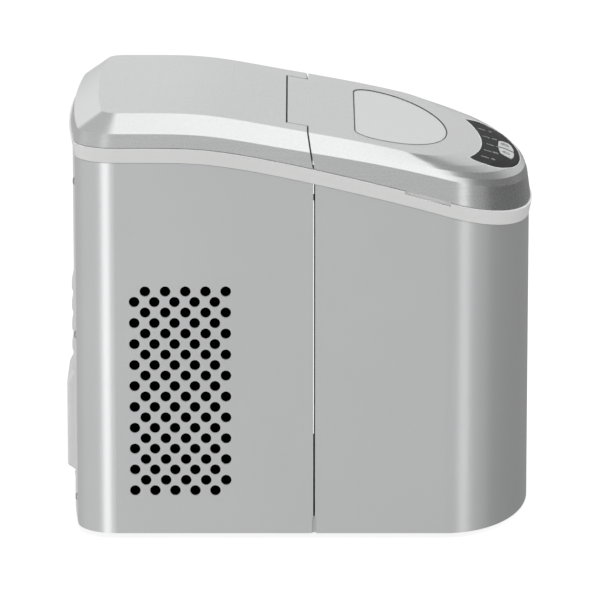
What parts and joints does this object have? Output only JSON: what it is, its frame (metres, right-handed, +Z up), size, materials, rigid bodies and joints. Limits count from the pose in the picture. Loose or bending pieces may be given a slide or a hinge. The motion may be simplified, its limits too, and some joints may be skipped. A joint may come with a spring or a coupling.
{
  "type": "countertop ice maker",
  "caption": "Compact countertop ice maker: round-nosed silver body, sloping hinged lid with smoky window and crescent control panel, side vents, ice basket and cooling unit inside.",
  "frame": {"origin": "on the bench under the middle of the machine's box", "axes": "+Z up, -Y out of the rounded front, X from left to right seen from the front"},
  "size_m": [0.241, 0.359, 0.328],
  "materials": {
    "silver_panel": "satin silver lacquer on a moulding",
    "pale_plastic": "fine-grained light grey moulding",
    "trim_plastic": "smooth light grey moulding",
    "smoke_window": "translucent smoky acrylic",
    "clear_plastic": "milky clear moulding",
    "dark_lens": "glossy charcoal",
    "button_plastic": "light grey with a printed symbol",
    "light_pipe": "clear light guide",
    "white_plastic": "food-safe white moulding",
    "foam": "rigid foam",
    "rubber": "matte black rubber",
    "seal_rubber": "soft grey silicone",
    "zinc_steel": "zinc-plated sheet",
    "black_enamel": "black enamel",
    "copper": "copper tube",
    "nickel": "nickel plating",
    "fin_aluminium": "bare aluminium",
    "black_plastic": "black moulding",
    "circuit_board": "green solder mask",
    "clear_hose": "translucent silicone"
  },
  "bodies": {
    "housing": {"left_side_panel": "silver_panel", "right_side_panel": "silver_panel", "front_shell": "silver_panel", "rear_panel": "pale_plastic", "rear_hump": "pale_plastic", "trim_band": "trim_plastic", "rear_top_cover": "pale_plastic", "hinge_pins": "zinc_steel", "inner_tub": "white_plastic", "tub_insulation": "foam", "base_tray": "pale_plastic", "bulkhead": "zinc_steel", "tub_stand": "white_plastic", "drain_outlet": "white_plastic", "evaporator_block": "nickel", "freezing_fingers": "nickel", "evaporator_tube": "copper", "evaporator_cover": "white_plastic", "water_inlet": "clear_hose", "tray_motor": "black_plastic", "ice_chute": "white_plastic", "water_level_sensor": "black_plastic", "ice_full_sensors": "black_plastic", "compressor_plate": "zinc_steel", "compressor_grommets": "rubber", "compressor": "black_enamel", "terminal_box": "black_plastic", "condenser": "fin_aluminium", "condenser_bends": "copper", "fan_shroud": "black_plastic", "fan_motor": "black_enamel", "fan_bracket": "zinc_steel", "pump_housing": "black_plastic", "water_hose": "clear_hose", "filter_drier": "copper", "hot_gas_valve": "nickel", "discharge_line": "copper", "suction_line": "copper", "capillary_line": "copper", "main_board": "circuit_board", "board_components": "black_plastic", "board_shelf": "white_plastic", "shelf_frame": "zinc_steel", "cable_gland": "rubber", "rubber_feet": "rubber"},
    "lid": {"lid_shell": "pale_plastic", "lid_window": "smoke_window", "lid_liner": "clear_plastic", "lid_seal": "seal_rubber", "control_panel": "dark_lens", "indicator_lights": "light_pipe", "control_board": "circuit_board"},
    "power_button": {"power_button": "button_plastic"},
    "select_button": {"select_button": "button_plastic"},
    "basket": {"ice_basket": "white_plastic"},
    "scoop": {"ice_scoop": "clear_plastic"},
    "tray": {"water_tray": "white_plastic"},
    "fan": {"fan_blades": "black_plastic"},
    "impeller": {"pump_impeller": "white_plastic"},
    "plug": {"drain_plug": "rubber"}
  },
  "joints": [
    {"name": "lid_hinge", "type": "hinge", "parent": "housing", "child": "lid", "pos_m": [0, 0.001, 0.3106], "axis": [-1, 0, 0], "range_deg": [0, 85]},
    {"name": "power_press", "type": "slide", "parent": "lid", "child": "power_button", "axis": [0, 0, -1], "range_m": [0, 0.0008], "stiffness_N_per_m": 700, "springref_m": -0.0008},
    {"name": "select_press", "type": "slide", "parent": "lid", "child": "select_button", "axis": [0, 0, -1], "range_m": [0, 0.0008], "stiffness_N_per_m": 700, "springref_m": -0.0008},
    {"name": "basket_lift", "type": "slide", "parent": "housing", "child": "basket", "axis": [0, 0, 1], "range_m": [0, 0.02]},
    {"name": "scoop_lift", "type": "slide", "parent": "basket", "child": "scoop", "axis": [0, 0, 1], "range_m": [0, 0.025]},
    {"name": "tray_tilt", "type": "hinge", "parent": "housing", "child": "tray", "pos_m": [0, -0.046, 0.24], "axis": [1, 0, 0], "range_deg": [0, 70]},
    {"name": "fan_spin", "type": "hinge", "parent": "housing", "child": "fan", "pos_m": [-0.073, 0.088, 0.115], "axis": [1, 0, 0], "continuous": true},
    {"name": "impeller_spin", "type": "hinge", "parent": "housing", "child": "impeller", "pos_m": [0, 0.023, 0.037], "axis": [0, 0, 1], "continuous": true},
    {"name": "plug_pull", "type": "slide", "parent": "housing", "child": "plug", "axis": [1, 0, 0], "range_m": [0, 0.01]}
  ]
}
